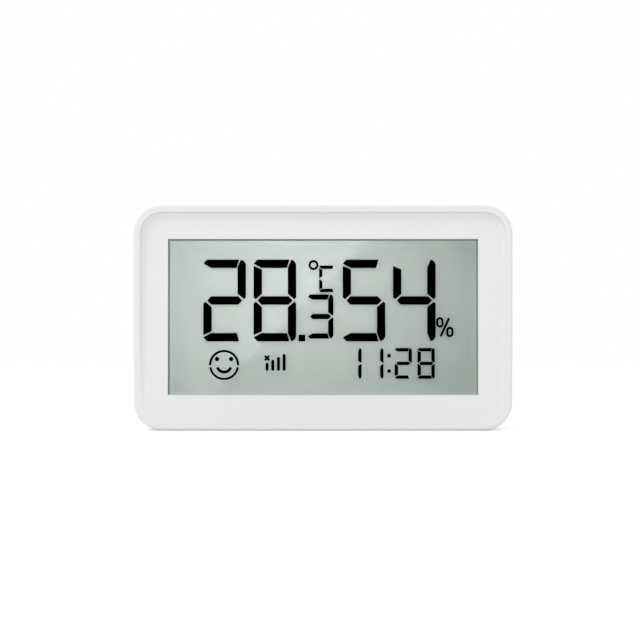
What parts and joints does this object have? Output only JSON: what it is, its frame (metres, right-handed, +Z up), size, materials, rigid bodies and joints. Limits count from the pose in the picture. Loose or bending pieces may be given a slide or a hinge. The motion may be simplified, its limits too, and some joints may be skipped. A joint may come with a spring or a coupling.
{
  "type": "temperature humidity sensor",
  "caption": "Table-top temperature and humidity sensor with a wide reflective display and clock in a white case, with a fold-out foot, a hinged battery door and a pairing button at the back.",
  "frame": {"origin": "middle of the bottom of the case, on the surface that it stands on", "axes": "+X to the right of the display, +Y from the display to the back, +Z up"},
  "size_m": [0.085, 0.0216, 0.0504],
  "materials": {
    "white_housing": "fine matte texture",
    "clear_lens": "polished clear acrylic",
    "lens_tape": "dull",
    "polariser_film": "anti-glare film",
    "display_glass": "polished",
    "edge_seal": "satin",
    "display_marks": "dark",
    "reflector_film": "fine pearly grain",
    "spacer_plastic": "matte",
    "striped_rubber": "matte",
    "board_laminate": "solder mask",
    "black_moulding": "matte",
    "pale_ceramic": "matte",
    "chip_body": "matte",
    "plated_can": "satin",
    "plated_contact": "bright nickel",
    "screw_steel": "zinc plated",
    "cell_sleeve": "gloss sleeve with bare steel ends"
  },
  "bodies": {
    "case": {"front_housing": "white_housing", "rear_housing": "white_housing", "lens_tape": "lens_tape", "display_lens": "clear_lens", "front_polariser": "polariser_film", "lcd_front_glass": "display_glass", "lcd_rear_glass": "display_glass", "lcd_seal": "edge_seal", "temperature_digits": "display_marks", "humidity_digits": "display_marks", "clock_digits": "display_marks", "comfort_face": "display_marks", "signal_bars": "display_marks", "reflector_film": "reflector_film", "display_spacer": "spacer_plastic", "zebra_strip": "striped_rubber", "main_board": "board_laminate", "board_screws": "screw_steel", "housing_screws": "screw_steel", "radio_chip": "black_moulding", "display_driver": "black_moulding", "air_sensor": "black_moulding", "radio_crystal": "plated_can", "clock_crystal": "plated_can", "pairing_switch": "plated_can", "chip_antenna": "pale_ceramic", "chip_parts": "chip_body", "lower_cell": "cell_sleeve", "upper_cell": "cell_sleeve", "positive_contact": "plated_contact", "negative_contact": "plated_contact", "negative_spring": "plated_contact", "bridge_contact": "plated_contact", "bridge_spring": "plated_contact"},
    "foot": {"fold_out_foot": "white_housing"},
    "door": {"battery_door": "white_housing"},
    "button": {"pairing_button": "white_housing", "switch_plunger": "black_moulding"}
  },
  "joints": [
    {"name": "foot_hinge", "type": "hinge", "parent": "case", "child": "foot", "pos_m": [0, 0.00958, 0.0026], "axis": [-1, 0, 0], "range_deg": [0, 90]},
    {"name": "door_hinge", "type": "hinge", "parent": "case", "child": "door", "pos_m": [0, 0.00928, 0.01535], "axis": [-1, 0, 0], "range_deg": [0, 90]},
    {"name": "button_press", "type": "slide", "parent": "case", "child": "button", "axis": [0, -1, 0], "range_m": [0, 0.00035], "stiffness_N_per_m": 3000}
  ]
}
